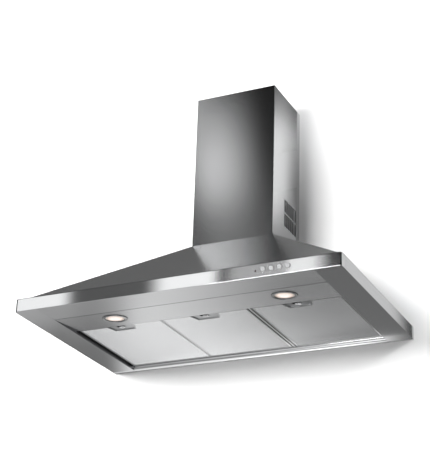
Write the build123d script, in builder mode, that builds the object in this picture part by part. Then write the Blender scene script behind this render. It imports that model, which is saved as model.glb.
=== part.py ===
from build123d import *
import os
from math import atan2, cos, sin

# Wall-mounted chimney range hood, as separate sheet-metal pieces, in millimetres.
# +Z is up and +Y points at the wall. The origin is on the wall plane, on the hood's
# centreline, at the height of its underside. The hood's front is at y = -hood_depth.

os.makedirs("parts", exist_ok=True)

# ---------------------------------------------------------------- overall sizes
hood_width = 900.0
hood_depth = 546.0
band_height = 35.0
canopy_top = 279.0
chimney_width = 243.0
chimney_depth = 191.0
chimney_top = 744.0

# ---------------------------------------------------------------- sheet and fits
sheet = 1.0
back_sheet = 1.2
canopy_wall = 1.5  # level thickness of the sloping canopy sheet
seam = 0.3  # gap between butted sheet edges
moving_gap = 0.5  # gap beside a piece that slides or swings
running_gap = 0.05  # radial clearance of a pin in its bore
hole_gap = 0.1  # radial clearance of a fixed screw in its hole

# ---------------------------------------------------------------- skirt and underside
corner_radius = 7.0
fascia_return = 26.0
joint_flange = 26.0
front_ledge = 12.0
side_ledge = 3.0
canopy_flange = 18.0
side_strip = 69.0
recess_wall_height = 22.0
border_depth = 87.0
border_upturn = 14.0
border_front_upturn = 6.0
recess = 9.0  # the filters' lower faces lie this far above the underside
border_gap = 0.9  # between the border panel and the lamp panel
lamp_panel_depth = 119.0
rail_flat = 13.0
rail_nose_radius = 10.0
rail_upturn = 14.0

# ---------------------------------------------------------------- grease filters
filter_side_gap = 6.5
filter_height = 9.0
filter_lip = 4.0
filter_rear = 28.5
filter_count = 3
narrow_joint = 2.4
divider_width = 5.6
divider_height = 6.0
divider_gap = 4.0
mesh_thickness = 3.0
bead_radius = 2.5
bead_inset = 4.0
bead_rise = 5.0
bead_offset = 3.5
cradle_wall = 1.0
cradle_start = 265.0
neck_height = 3.0

# ---------------------------------------------------------------- filter latches
pan_front_width = 80.0
pan_rear_width = 58.0
pan_depth = 34.0
pan_recess = 2.5
pan_rim = 1.2
well_width = 24.0
well_depth = 16.0
well_height = 4.5
well_side_shift = -3.0
well_from_front = 10.0
latch_from_front = 16.0
latch_travel = 6.0
tab_width = 16.0
tab_depth = 12.0
tab_height = 1.5
tab_corner = 2.0
shank_width = 6.0
shank_depth = 4.0
slide_width = 22.0
slide_depth = 20.0
catch_width = 18.0
catch_sheet = 0.8
catch_reach = 6.1

# ---------------------------------------------------------------- lamps
lamp_from_side = 211.0
lamps_off_centre = 9.4
lamp_from_border = 54.0
lamp_bezel_radius = 34.0
lamp_opening_radius = 26.0
lamp_sleeve_radius = 28.5
lamp_bezel_height = 2.0
lamp_sleeve_height = 8.0
lamp_glass_height = 3.0
lamp_glass_inset = 1.0
lamp_body_height = 22.0
lamp_body_edge = 3.0

# ---------------------------------------------------------------- controls
button_count = 4
first_button_from_side = 200.0
button_pitch = 21.4
button_radius = 5.6
button_length = 10.0
button_proud = 1.5
button_travel = 2.0
button_edge = 0.6
stem_radius = 2.0
stem_length = 7.5
bezel_radius = 7.75
bezel_sleeve_radius = 6.9
bezel_proud = 0.8
bezel_length = 6.0
spring_wall = 0.8
pilot_before_buttons = 19.0
pilot_below_buttons = 2.0
pilot_radius = 2.5
pilot_proud = 0.8
switch_depth = 20.0
switch_above_border = 2.0
switch_below_band_top = 4.0
switch_margin = 11.0
switch_leg = 3.0

# ---------------------------------------------------------------- chimney
chimney_corner = 2.0
upstand_height = 13.0
rear_return = 13.5
upper_top_gap = 2.0
vent_front = 109.0
vent_rear = 22.0
vent_above_canopy = 58.0
vent_height = 82.0
vent_bar = 4.0
vent_frame = 4.0
vent_sheet = 1.5
fin_count = 5
fin_width = 2.4
fin_depth = 7.0
bracket_height = 24.0
bracket_from_top = 8.0
bracket_ear = 25.0
bracket_foot = 3.0
bracket_foot_radius = 9.0
bracket_hole_radius = 2.75
bracket_hole_spacing = 160.0

# ---------------------------------------------------------------- wall fixings
fixing_spacing = 280.0
hanging_slot_z = 205.0
hanging_slot_length = 20.0
hanging_slot_radius = 4.25
safety_hole_z = 70.0
safety_hole_radius = 3.0

# ---------------------------------------------------------------- blower
scroll_radius = 105.0
scroll_wall = 1.5
scroll_half_width = 95.0
blower_above_filters = 20.5
neck_margin = 1.5  # the outlet neck stands this far outside the collar's flange
lug_width = 17.0
lug_height = 80.0
lug_screw_spacing = 50.0
inlet_radius = 60.0
inlet_ring_radius = 72.0
inlet_ring_sheet = 2.0
inlet_nozzle_wall = 3.8
inlet_nozzle_length = 9.0
wheel_radius = 75.0
wheel_inner_radius = 62.0
wheel_half_width = 82.0
wheel_ring = 2.0
blade_count = 36
blade_sheet = 1.2
blade_angle = 20.0
hub_radius = 12.0
hub_half_length = 12.0
hub_disk = 2.0
shaft_radius = 4.0
shaft_end = 14.0
motor_radius = 45.0
motor_length = 67.0
motor_edge = 4.0
shaft_in_motor = 30.0
bracket_sheet = 2.5
arm_width = 14.0
arm_disk_radius = 30.0
arm_count = 3

# ---------------------------------------------------------------- outlet and flaps
collar_radius = 74.5
collar_wall = 1.5
collar_height = 80.0
collar_flange_radius = 82.0
flap_pin_height = 12.0
flap_pin_radius = 2.0
flap_barrel_wall = 1.4
flap_sheet = 1.2
flap_edge_gap = 1.5
flap_inner_edge = 4.2
barrel_length = 28.0
barrel_gap = 2.0

# ---------------------------------------------------------------- electrics
box_width = 80.0
box_depth = 40.0
box_height = 70.0
box_x = 190.0
box_z = 95.0
box_wall = 2.0
box_edge = 3.0
gland_radius = 8.0
gland_bore = 4.0
gland_above = 14.0
gland_nut = 4.0
gland_thread_radius = 6.0
capacitor_radius = 17.5
capacitor_length = 55.0
capacitor_edge = 3.0
capacitor_x = -150.0
capacitor_z = 100.0

# ---------------------------------------------------------------- screws
screw_radius = 2.0
screw_head_radius = 3.5
screw_head_height = 2.2
screw_head_edge = 1.0
screw_from_foot = 8.0
screw_stand = 1.5
front_screw_from_side = 120.0
front_screw_count = 4
side_screw_pitch = 150.0
side_screws_from_wall = 100.0

# ---------------------------------------------------------------- places worked out from the sizes
half_width = hood_width / 2
half_chimney = chimney_width / 2
inner_half_chimney = half_chimney - sheet
foot_half_width = half_width - side_ledge
foot_depth = hood_depth - front_ledge
underside_half = half_width - side_strip  # inner faces of the recess walls
panel_half = underside_half - seam
border_rear = -hood_depth + border_depth
border_edge = border_rear - border_gap
lip_rear = border_rear + lamp_panel_depth
lamp_slope = atan2(recess, lamp_panel_depth)
filter_front = lip_rear + moving_gap
filter_length = -filter_front - filter_rear
filter_middle = (filter_front - filter_rear) / 2
filter_top = recess + filter_height
hinge_y = -filter_rear + bead_offset
hinge_z = recess + bead_rise
lip_top = filter_top + sheet
divider_joint = divider_width + 2 * divider_gap
field_half = panel_half - filter_side_gap
filter_width = (2 * field_half - narrow_joint - divider_joint) / filter_count
filter_centres = [
    -field_half + filter_width / 2,
    -field_half + filter_width * 1.5 + narrow_joint,
    field_half - filter_width / 2,
]
divider_x = field_half - filter_width - divider_joint / 2
fascia_inner = -hood_depth + sheet
lamp_y = border_rear + lamp_from_border
first_button_x = half_width - first_button_from_side
pilot_x = first_button_x - pilot_before_buttons
switch_bottom = border_front_upturn + switch_above_border
switch_top = band_height - sheet - switch_below_band_top
button_z = (switch_bottom + switch_top) / 2
pilot_z = button_z - pilot_below_buttons
vent_bottom = canopy_top + vent_above_canopy
vent_top = vent_bottom + vent_height
scroll_centre_y = -back_sheet - scroll_radius
scroll_centre_z = filter_top + blower_above_filters + scroll_radius
scroll_top = scroll_centre_z + scroll_radius + scroll_wall
duct_y = -chimney_depth / 2


def ring_sector(centre, inner_radius, outer_radius, start, sweep):
    """Sketch of part of a ring."""
    with BuildSketch(Plane.XY) as sector:
        with BuildLine():
            outer = CenterArc(centre, outer_radius, start, sweep)
            inner = CenterArc(centre, inner_radius, start, sweep)
            Line(outer @ 0, inner @ 0)
            Line(outer @ 1, inner @ 1)
        make_face()
    return sector.sketch


def screw(plane, length):
    """A pan-head screw whose head sits on the plane and whose shank runs along its normal."""
    with BuildPart() as body:
        with BuildSketch(plane):
            Circle(screw_radius)
        extrude(amount=length)
        with BuildSketch(plane):
            Circle(screw_head_radius)
        extrude(amount=-screw_head_height)
        outer_rim = body.edges().filter_by(GeomType.CIRCLE).sort_by(SortBy.RADIUS)[-2:]
        outer_rim = outer_rim.sort_by(lambda edge: plane.to_local_coords(edge.center()).Z)
        fillet(outer_rim[0], screw_head_edge)
    return body.part


# ================================================================ skirt
front_screw_reach = half_width - front_screw_from_side
front_screw_pitch = 2 * front_screw_reach / (front_screw_count - 1)
canopy_screw_places = [
    (n * front_screw_pitch - front_screw_reach, -foot_depth + screw_from_foot)
    for n in range(front_screw_count)
] + [
    (side * (foot_half_width - screw_from_foot), -side_screws_from_wall - step * side_screw_pitch)
    for side in (-1, 1)
    for step in range(3)
]

with BuildPart() as front_fascia:
    fascia_middle = -hood_depth + fascia_return / 2
    with BuildSketch():
        with Locations((0, fascia_middle)):
            Rectangle(hood_width, fascia_return)
        fillet(vertices().group_by(Axis.Y)[0], corner_radius)
    extrude(amount=band_height)
    with BuildSketch():
        with Locations((0, fascia_middle + sheet)):
            Rectangle(hood_width - 2 * sheet, fascia_return)
        fillet(vertices().group_by(Axis.Y)[0], corner_radius - sheet)
    extrude(amount=band_height - sheet, mode=Mode.SUBTRACT)
    with BuildSketch(Plane.XY.offset(band_height)):
        with Locations(canopy_screw_places[:front_screw_count]):
            Circle(screw_radius + hole_gap)
    extrude(amount=-2 * sheet, mode=Mode.SUBTRACT)
    with BuildSketch(Plane.XZ.offset(hood_depth)):
        with Locations([(first_button_x + n * button_pitch, button_z) for n in range(button_count)]):
            Circle(bezel_sleeve_radius + hole_gap)
        with Locations((pilot_x, pilot_z)):
            Circle(pilot_radius + hole_gap)
    extrude(amount=-2 * sheet, mode=Mode.SUBTRACT)
front_fascia.part.label = "front_fascia"
export_step(front_fascia.part, "parts/front_fascia.step")


def side_panel(side):
    """Side band, underside strip and the recess wall beside the filters, folded from one sheet."""
    band_front = -hood_depth + fascia_return + seam
    band_length = -back_sheet - band_front
    band_middle = -back_sheet - band_length / 2
    strip_outer = half_width - sheet - seam
    strip_front = fascia_inner + seam
    strip_length = -back_sheet - strip_front
    strip_middle = -back_sheet - strip_length / 2
    with BuildPart() as panel:
        with BuildSketch():
            with Locations((side * (underside_half + strip_outer) / 2, strip_middle)):
                Rectangle(strip_outer - underside_half, strip_length)
            outer_front = vertices().group_by(Axis.Y)[0].sort_by(Axis.X)[-1 if side > 0 else 0]
            fillet(outer_front, corner_radius - sheet)
            with Locations((side * (underside_half + half_width) / 2, band_middle)):
                Rectangle(half_width - underside_half, band_length)
        extrude(amount=sheet)
        with BuildSketch():
            with Locations((side * (half_width - sheet / 2), band_middle)):
                Rectangle(sheet, band_length)
        extrude(amount=band_height)
        with BuildSketch():
            with Locations((side * (underside_half + sheet / 2), strip_middle)):
                Rectangle(sheet, strip_length)
        extrude(amount=recess_wall_height)
        with BuildSketch(Plane.XY.offset(band_height - sheet)):
            with Locations((side * (half_width - joint_flange / 2), band_middle)):
                Rectangle(joint_flange, band_length)
            with Locations(canopy_screw_places[front_screw_count:]):
                Circle(screw_radius + hole_gap, mode=Mode.SUBTRACT)
        extrude(amount=sheet)
    return panel.part


for name, side in (("left_side_panel", -1), ("right_side_panel", 1)):
    panel = side_panel(side)
    panel.label = name
    export_step(panel, f"parts/{name}.step")

with BuildPart() as front_border_panel:
    with BuildSketch(Plane.YZ.offset(-panel_half)):
        with BuildLine():
            Polyline(
                (fascia_inner, 0),
                (border_edge, 0),
                (border_edge, border_upturn),
                (border_edge - sheet, border_upturn),
                (border_edge - sheet, sheet),
                (fascia_inner + sheet, sheet),
                (fascia_inner + sheet, border_front_upturn),
                (fascia_inner, border_front_upturn),
                close=True,
            )
        make_face()
    extrude(amount=2 * panel_half)
front_border_panel.part.label = "front_border_panel"
export_step(front_border_panel.part, "parts/front_border_panel.step")


# ================================================================ lamp panel and lamps
def panel_z(y):
    """Height of the lamp panel's lower face, which slopes up to the filters."""
    return recess * (y - border_rear) / lamp_panel_depth


def lamp_plane(x):
    """Plane on the lamp panel's lower face at a lamp, with its normal pointing up into the hood."""
    centre = (x, lamp_y, panel_z(lamp_y))
    return Plane(origin=centre, x_dir=(1, 0, 0), z_dir=(0, -sin(lamp_slope), cos(lamp_slope)))


lamp_half_spacing = half_width - lamp_from_side
lamp_places = (
    ("left", lamps_off_centre - lamp_half_spacing),
    ("right", lamps_off_centre + lamp_half_spacing),
)

with BuildPart() as lamp_panel:
    raised = sheet / cos(lamp_slope)
    lip_front = lip_rear - sheet
    front_inner = border_rear + sheet
    with BuildSketch(Plane.YZ.offset(-panel_half)):
        with BuildLine():
            Polyline(
                (border_rear, 0),
                (lip_rear, recess),
                (lip_rear, lip_top),
                (lip_front, lip_top),
                (lip_front, panel_z(lip_front) + raised),
                (front_inner, panel_z(front_inner) + raised),
                (front_inner, border_upturn),
                (border_rear, border_upturn),
                close=True,
            )
        make_face()
    extrude(amount=2 * panel_half)
    for _, lamp_x in lamp_places:
        with BuildSketch(lamp_plane(lamp_x)):
            Circle(lamp_sleeve_radius + hole_gap)
        extrude(amount=3 * sheet, both=True, mode=Mode.SUBTRACT)
lamp_panel.part.label = "lamp_panel"
export_step(lamp_panel.part, "parts/lamp_panel.step")


def lamp_bezel(plane):
    """Ring below the lamp panel, with a sleeve through it."""
    with BuildPart() as bezel:
        with BuildSketch(plane):
            Circle(lamp_bezel_radius)
        extrude(amount=-lamp_bezel_height)
        with BuildSketch(plane):
            Circle(lamp_sleeve_radius)
        extrude(amount=lamp_sleeve_height)
        with BuildSketch(plane.offset(-lamp_bezel_height)):
            Circle(lamp_opening_radius)
        extrude(amount=lamp_bezel_height + lamp_sleeve_height, mode=Mode.SUBTRACT)
        rims = bezel.edges().filter_by(GeomType.CIRCLE).sort_by(SortBy.RADIUS)[-2:]
        chamfer(rims.sort_by(Axis.Z)[0], lamp_bezel_height / 2)
    return bezel.part


def lamp_glass(plane):
    """Round lens inside the bezel."""
    with BuildPart() as glass:
        with BuildSketch(plane.offset(-lamp_bezel_height + lamp_glass_inset)):
            Circle(lamp_opening_radius - hole_gap)
        extrude(amount=lamp_glass_height)
    return glass.part


def lamp_body(plane):
    """Lamp can above the lens, held in the bezel's sleeve."""
    bottom = -lamp_bezel_height + lamp_glass_inset + lamp_glass_height
    with BuildPart() as body:
        with BuildSketch(plane.offset(bottom)):
            Circle(lamp_opening_radius - hole_gap)
        extrude(amount=lamp_body_height)
        fillet(body.edges().filter_by(GeomType.CIRCLE).sort_by(Axis.Z)[-1], lamp_body_edge)
    return body.part


for name, lamp_x in lamp_places:
    for kind, make in (("bezel", lamp_bezel), ("glass", lamp_glass), ("body", lamp_body)):
        piece = make(lamp_plane(lamp_x))
        piece.label = f"lamp_{kind}_{name}"
        export_step(piece, f"parts/lamp_{kind}_{name}.step")


# ================================================================ rear rail and filter divider
with BuildPart() as rear_rail:
    cradle_inner = bead_radius + running_gap
    cradle_outer = cradle_inner + cradle_wall
    nose_front = -rail_flat - rail_nose_radius
    with BuildSketch(Plane.YZ.offset(-panel_half)):
        with Locations(((-rail_flat - back_sheet) / 2, sheet / 2)):
            Rectangle(rail_flat - back_sheet, sheet)
        with Locations((-back_sheet - sheet / 2, rail_upturn / 2)):
            Rectangle(sheet, rail_upturn)
        nose_centre = (-rail_flat, rail_nose_radius)
        add(ring_sector(nose_centre, rail_nose_radius - sheet, rail_nose_radius, 180, 90))
        add(ring_sector((hinge_y, hinge_z), cradle_inner, cradle_outer, cradle_start, 360 - cradle_start))
        link_rear = nose_front + sheet - hinge_y
        link_top = hinge_z - (cradle_outer**2 - link_rear**2) ** 0.5 + cradle_wall / 2
        with Locations((nose_front + sheet / 2, (rail_nose_radius + link_top) / 2)):
            Rectangle(sheet, link_top - rail_nose_radius)
        with Locations((hinge_y, hinge_z)):
            Circle(cradle_inner, mode=Mode.SUBTRACT)
    extrude(amount=2 * panel_half)
rear_rail.part.label = "rear_rail"
export_step(rear_rail.part, "parts/rear_rail.step")

with BuildPart() as filter_divider:
    divider_rear = hinge_y - moving_gap - cradle_wall
    divider_length = divider_rear - lip_rear
    with BuildSketch(Plane.XY.offset(recess)):
        with Locations((divider_x, (divider_rear + lip_rear) / 2)):
            Rectangle(divider_width, divider_length)
    extrude(amount=divider_height)
    with BuildSketch(Plane.XY.offset(recess + sheet)):
        with Locations((divider_x, (divider_rear + lip_rear) / 2)):
            Rectangle(divider_width - 2 * sheet, divider_length)
    extrude(amount=divider_height, mode=Mode.SUBTRACT)
filter_divider.part.label = "filter_divider"
export_step(filter_divider.part, "parts/filter_divider.step")


# ================================================================ grease filters
def pan_outline(centre_x, inset):
    """Sketch of the latch pan's trapezoid, drawn in at its sides and rear."""
    front = filter_front + sheet
    rear = front + pan_depth - inset
    front_half = pan_front_width / 2 - inset
    rear_half = pan_rear_width / 2 - inset
    with BuildSketch(Plane.XY) as trapezoid:
        with BuildLine():
            Polyline(
                (centre_x - front_half, front),
                (centre_x + front_half, front),
                (centre_x + rear_half, rear),
                (centre_x - rear_half, rear),
                close=True,
            )
        make_face()
    return trapezoid.sketch


def filter_frame(centre_x):
    """Folded channel frame with the rolled hinge bead along its rear edge."""
    bead_length = filter_width - 2 * bead_inset
    with BuildPart() as frame:
        with BuildSketch(Plane.XY.offset(recess)):
            with Locations((centre_x, filter_middle)):
                Rectangle(filter_width, filter_length)
        extrude(amount=filter_height)
        with BuildSketch(Plane.XY.offset(recess + sheet)):
            with Locations((centre_x, filter_middle)):
                Rectangle(filter_width - 2 * sheet, filter_length - 2 * sheet)
        extrude(amount=filter_height - 2 * sheet, mode=Mode.SUBTRACT)
        with BuildSketch(Plane.XY.offset(recess)):
            with Locations((centre_x, filter_middle)):
                Rectangle(filter_width - 2 * filter_lip, filter_length - 2 * filter_lip)
        extrude(amount=filter_height, mode=Mode.SUBTRACT)
        with BuildSketch(Plane.XY.offset(recess)):
            add(pan_outline(centre_x, 0))
        extrude(amount=sheet, mode=Mode.SUBTRACT)
        with BuildSketch(Plane.YZ.offset(centre_x - bead_length / 2)):
            with Locations((hinge_y, hinge_z)):
                Circle(bead_radius)
            with Locations(((hinge_y - filter_rear) / 2, hinge_z)):
                Rectangle(bead_offset, neck_height)
        extrude(amount=bead_length)
    return frame.part


def filter_mesh(centre_x):
    """Mesh pack lying on the frame's lower lip, cut out round the latch pan."""
    with BuildPart() as mesh:
        with BuildSketch(Plane.XY.offset(recess + sheet)):
            with Locations((centre_x, filter_middle)):
                Rectangle(filter_width - 2 * sheet, filter_length - 2 * sheet)
        extrude(amount=mesh_thickness)
        with BuildSketch(Plane.XY.offset(recess + sheet)):
            add(pan_outline(centre_x, -hole_gap))
        extrude(amount=mesh_thickness, mode=Mode.SUBTRACT)
    return mesh.part


latch_y = filter_front + latch_from_front
tab_top = recess + pan_recess - seam
slide_bottom = filter_top + seam
slide_top = slide_bottom + sheet


def latch_pan(centre_x):
    """Recessed pan with the finger well and the slot that the latch slides in."""
    pan_height = filter_height - sheet
    slot_depth = shank_depth + latch_travel + 2 * seam
    with BuildPart() as pan:
        with BuildSketch(Plane.XY.offset(recess)):
            add(pan_outline(centre_x, 0))
        extrude(amount=pan_height)
        with BuildSketch(Plane.XY.offset(recess)):
            add(pan_outline(centre_x, pan_rim))
        extrude(amount=pan_recess, mode=Mode.SUBTRACT)
        with BuildSketch(Plane.XY.offset(recess)):
            with Locations((centre_x + well_side_shift, filter_front + well_from_front)):
                SlotOverall(well_width, well_depth)
        extrude(amount=pan_recess + well_height, mode=Mode.SUBTRACT)
        with BuildSketch(Plane.XY.offset(recess)):
            with Locations((centre_x, latch_y + latch_travel / 2)):
                Rectangle(shank_width + 2 * seam, slot_depth)
        extrude(amount=pan_height, mode=Mode.SUBTRACT)
    return pan.part


def filter_latch(centre_x):
    """Finger tab, shank and top slide in one piece."""
    with BuildPart() as latch:
        with BuildSketch(Plane.XY.offset(tab_top - tab_height)):
            with Locations((centre_x, latch_y)):
                RectangleRounded(tab_width, tab_depth, tab_corner)
        extrude(amount=tab_height)
        with BuildSketch(Plane.XY.offset(tab_top)):
            with Locations((centre_x, latch_y)):
                Rectangle(shank_width, shank_depth)
        extrude(amount=slide_bottom - tab_top)
        with BuildSketch(Plane.XY.offset(slide_bottom)):
            with Locations((centre_x, latch_y)):
                Rectangle(slide_width, slide_depth)
        extrude(amount=sheet)
    return latch.part


def latch_catch(centre_x):
    """Spring-steel tongue on the slide that reaches over the lamp panel's rear lip."""
    tongue_front = lip_rear - catch_reach
    tongue_rear = latch_y + slide_depth / 4
    with BuildPart() as catch:
        with BuildSketch(Plane.XY.offset(slide_top)):
            with Locations((centre_x, (tongue_front + tongue_rear) / 2)):
                Rectangle(catch_width, tongue_rear - tongue_front)
        extrude(amount=catch_sheet)
        tip = catch.edges().filter_by(Axis.X).group_by(Axis.Y)[0]
        chamfer(tip.sort_by(Axis.Z)[-1], catch_sheet / 2)
    return catch.part


filter_pieces = (
    ("frame", filter_frame),
    ("mesh", filter_mesh),
    ("latch_pan", latch_pan),
    ("latch", filter_latch),
    ("catch", latch_catch),
)
for number, centre_x in enumerate(filter_centres, 1):
    for kind, make in filter_pieces:
        piece = make(centre_x)
        piece.label = f"filter_{number}_{kind}"
        export_step(piece, f"parts/filter_{number}_{kind}.step")


# ================================================================ canopy and back panel
def open_back(half, depth, z):
    """Sketch of a rectangle from the front at -depth to behind the wall plane."""
    behind = 2 * canopy_flange
    with BuildSketch(Plane.XY.offset(z)) as outline:
        with Locations((0, (behind - depth) / 2)):
            Rectangle(2 * half, behind + depth)
    return outline.sketch


def add_ledge(outer_half, outer_depth, width, z, height):
    """Adds a flat U-shaped rim, open at the wall, to the part that is being built."""
    rim = open_back(outer_half, outer_depth, z) - open_back(outer_half - width, outer_depth - width, z)
    extrude(rim, amount=height)


with BuildPart() as canopy:
    with BuildSketch(Plane.XY.offset(band_height)):
        with Locations((0, -foot_depth / 2)):
            Rectangle(2 * foot_half_width, foot_depth)
    with BuildSketch(Plane.XY.offset(canopy_top)):
        with Locations((0, -chimney_depth / 2)):
            Rectangle(chimney_width, chimney_depth)
    loft()
    with BuildSketch(Plane.XY.offset(band_height)):
        add(open_back(foot_half_width - canopy_wall, foot_depth - canopy_wall, 0))
    with BuildSketch(Plane.XY.offset(canopy_top)):
        add(open_back(half_chimney - canopy_wall, chimney_depth - canopy_wall, 0))
    loft(mode=Mode.SUBTRACT)
    inset = canopy_wall - running_gap
    add_ledge(foot_half_width - inset, foot_depth - inset, canopy_flange - inset, band_height, sheet)
    upstand_half = inner_half_chimney - seam
    upstand_depth = chimney_depth - sheet - seam
    add_ledge(half_chimney - hole_gap, chimney_depth - hole_gap, 2 * sheet + seam, canopy_top - sheet, sheet)
    add_ledge(upstand_half, upstand_depth, sheet, canopy_top - sheet, upstand_height + sheet)
    with BuildSketch(Plane.XY.offset(band_height)):
        with Locations(canopy_screw_places):
            Circle(screw_radius + hole_gap)
    extrude(amount=sheet, mode=Mode.SUBTRACT)
    with BuildSketch(Plane.XZ.offset(back_sheet)):
        with Locations((0, canopy_top / 2)):
            Rectangle(2 * hood_width, 2 * canopy_top)
    extrude(amount=-3 * canopy_flange, mode=Mode.SUBTRACT)
canopy.part.label = "canopy"
export_step(canopy.part, "parts/canopy.step")

blower_screw_places = [
    (side * (scroll_half_width + lug_width / 2), scroll_centre_z + lug_height / 2 + rise * lug_screw_spacing)
    for side in (-1, 1)
    for rise in (-0.5, 0.5)
]

with BuildPart() as back_panel:
    with BuildSketch(Plane.XZ):
        with BuildLine():
            Polyline(
                (-half_width, 0),
                (half_width, 0),
                (half_width, band_height),
                (foot_half_width, band_height),
                (half_chimney, canopy_top),
                (-half_chimney, canopy_top),
                (-foot_half_width, band_height),
                (-half_width, band_height),
                close=True,
            )
        make_face()
        with Locations([(side * fixing_spacing / 2, hanging_slot_z) for side in (-1, 1)]):
            SlotOverall(hanging_slot_length, 2 * hanging_slot_radius, mode=Mode.SUBTRACT)
        with Locations([(side * fixing_spacing / 2, safety_hole_z) for side in (-1, 1)]):
            Circle(safety_hole_radius, mode=Mode.SUBTRACT)
        with Locations(blower_screw_places):
            Circle(screw_radius + hole_gap, mode=Mode.SUBTRACT)
    extrude(amount=back_sheet)
back_panel.part.label = "back_panel"
export_step(back_panel.part, "parts/back_panel.step")

with BuildPart() as canopy_screws:
    for x, y in canopy_screw_places:
        screw_plane = Plane(origin=(x, y, band_height - sheet), z_dir=(0, 0, 1))
        add(screw(screw_plane, 2 * sheet + screw_stand))
canopy_screws.part.label = "canopy_screws"
export_step(canopy_screws.part, "parts/canopy_screws.step")


# ================================================================ chimney
def sleeve(half, depth, rear, bottom, top, corner):
    """Three-sided sheet sleeve with rounded front edges, open at the wall."""
    with BuildPart() as shell:
        with BuildSketch(Plane.XY.offset(bottom)):
            with Locations((0, (rear - depth) / 2)):
                Rectangle(2 * half, rear + depth)
            fillet(vertices().group_by(Axis.Y)[0], corner)
        extrude(amount=top - bottom)
        with BuildSketch(Plane.XY.offset(bottom)):
            with Locations((0, (rear - depth) / 2 + sheet)):
                Rectangle(2 * (half - sheet), rear + depth)
            fillet(vertices().group_by(Axis.Y)[0], corner - sheet)
        extrude(amount=top - bottom, mode=Mode.SUBTRACT)
    return shell.part


vent_middle_y = -(vent_front + vent_rear) / 2
vent_middle_z = (vent_bottom + vent_top) / 2
window_height = (vent_top - vent_bottom - vent_bar) / 2
window_width = vent_front - vent_rear

with BuildPart() as lower_chimney:
    add(sleeve(half_chimney, chimney_depth, 0, canopy_top, chimney_top, chimney_corner))
    with BuildSketch(Plane.XY.offset(canopy_top)):
        for side in (-1, 1):
            with Locations((side * (half_chimney - rear_return / 2), -sheet / 2)):
                Rectangle(rear_return, sheet)
    extrude(amount=chimney_top - canopy_top)
    with BuildSketch(Plane.YZ):
        with Locations((vent_middle_y, vent_middle_z)):
            with GridLocations(0, window_height + vent_bar, 1, 2):
                Rectangle(window_width, window_height)
    extrude(amount=chimney_width, both=True, mode=Mode.SUBTRACT)
lower_chimney.part.label = "lower_chimney"
export_step(lower_chimney.part, "parts/lower_chimney.step")


def side_vent(side):
    """Louvre insert behind the two windows in one side of the lower chimney."""
    outer_face = side * inner_half_chimney
    fin_pitch = window_width / (fin_count + 1)
    with BuildPart() as vent:
        with BuildSketch(Plane.YZ.offset(outer_face)):
            with Locations((vent_middle_y, vent_middle_z)):
                Rectangle(window_width + 2 * vent_frame, vent_top - vent_bottom + 2 * vent_frame)
                with GridLocations(0, window_height + vent_bar, 1, 2):
                    Rectangle(window_width, window_height, mode=Mode.SUBTRACT)
        extrude(amount=-side * vent_sheet)
        with BuildSketch(Plane.YZ.offset(outer_face)):
            with Locations((vent_middle_y, vent_middle_z)):
                with GridLocations(fin_pitch, 0, fin_count, 1):
                    Rectangle(fin_width, vent_top - vent_bottom + vent_frame)
        extrude(amount=-side * (vent_sheet + fin_depth))
    return vent.part


for name, side in (("side_vent_left", -1), ("side_vent_right", 1)):
    vent = side_vent(side)
    vent.label = name
    export_step(vent, f"parts/{name}.step")

upper_half = inner_half_chimney - moving_gap
upper_depth = chimney_depth - sheet - moving_gap
upper_bottom = vent_top + vent_frame + seam
upper_top = chimney_top - upper_top_gap
bracket_z = upper_top - bracket_from_top - bracket_height / 2
ear_y = -bracket_foot - bracket_ear / 2

with BuildPart() as upper_chimney:
    upper_rear = -sheet - moving_gap
    add(sleeve(upper_half, upper_depth, upper_rear, upper_bottom, upper_top, chimney_corner))
    with BuildSketch(Plane.YZ):
        with Locations((ear_y, bracket_z)):
            Circle(screw_radius + hole_gap)
    extrude(amount=chimney_width, both=True, mode=Mode.SUBTRACT)
upper_chimney.part.label = "upper_chimney"
export_step(upper_chimney.part, "parts/upper_chimney.step")

with BuildPart() as chimney_wall_bracket:
    bracket_half = upper_half - sheet
    with BuildSketch(Plane.XZ.offset(bracket_foot)):
        with Locations((0, bracket_z)):
            Rectangle(2 * bracket_half, bracket_height)
    extrude(amount=sheet)
    for side in (-1, 1):
        with BuildSketch(Plane.YZ.offset(side * bracket_half)):
            with Locations((ear_y, bracket_z)):
                Rectangle(bracket_ear, bracket_height)
        extrude(amount=-side * sheet)
    with BuildSketch(Plane.YZ):
        with Locations((ear_y, bracket_z)):
            Circle(screw_radius + hole_gap)
    extrude(amount=chimney_width, both=True, mode=Mode.SUBTRACT)
    with BuildSketch(Plane.XZ):
        with Locations((0, bracket_z)):
            with GridLocations(bracket_hole_spacing, 0, 2, 1):
                Circle(bracket_foot_radius)
    extrude(amount=bracket_foot)
    with BuildSketch(Plane.XZ):
        with Locations((0, bracket_z)):
            with GridLocations(bracket_hole_spacing, 0, 2, 1):
                Circle(bracket_hole_radius)
    extrude(amount=bracket_foot + sheet, mode=Mode.SUBTRACT)
chimney_wall_bracket.part.label = "chimney_wall_bracket"
export_step(chimney_wall_bracket.part, "parts/chimney_wall_bracket.step")

with BuildPart() as bracket_screws:
    for side in (-1, 1):
        ear_face = side * (upper_half - 2 * sheet)
        add(screw(Plane(origin=(ear_face, ear_y, bracket_z), z_dir=(side, 0, 0)), 2 * sheet))
bracket_screws.part.label = "bracket_screws"
export_step(bracket_screws.part, "parts/bracket_screws.step")


# ================================================================ controls
button_xs = [first_button_x + n * button_pitch for n in range(button_count)]
button_front = hood_depth + button_proud
button_back = button_front - button_length
stem_back = button_back - stem_length
switch_front = stem_back + button_travel + sheet
switch_back = switch_front - switch_depth
switch_left = pilot_x - switch_margin / 2
switch_right = button_xs[-1] + switch_margin

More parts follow.
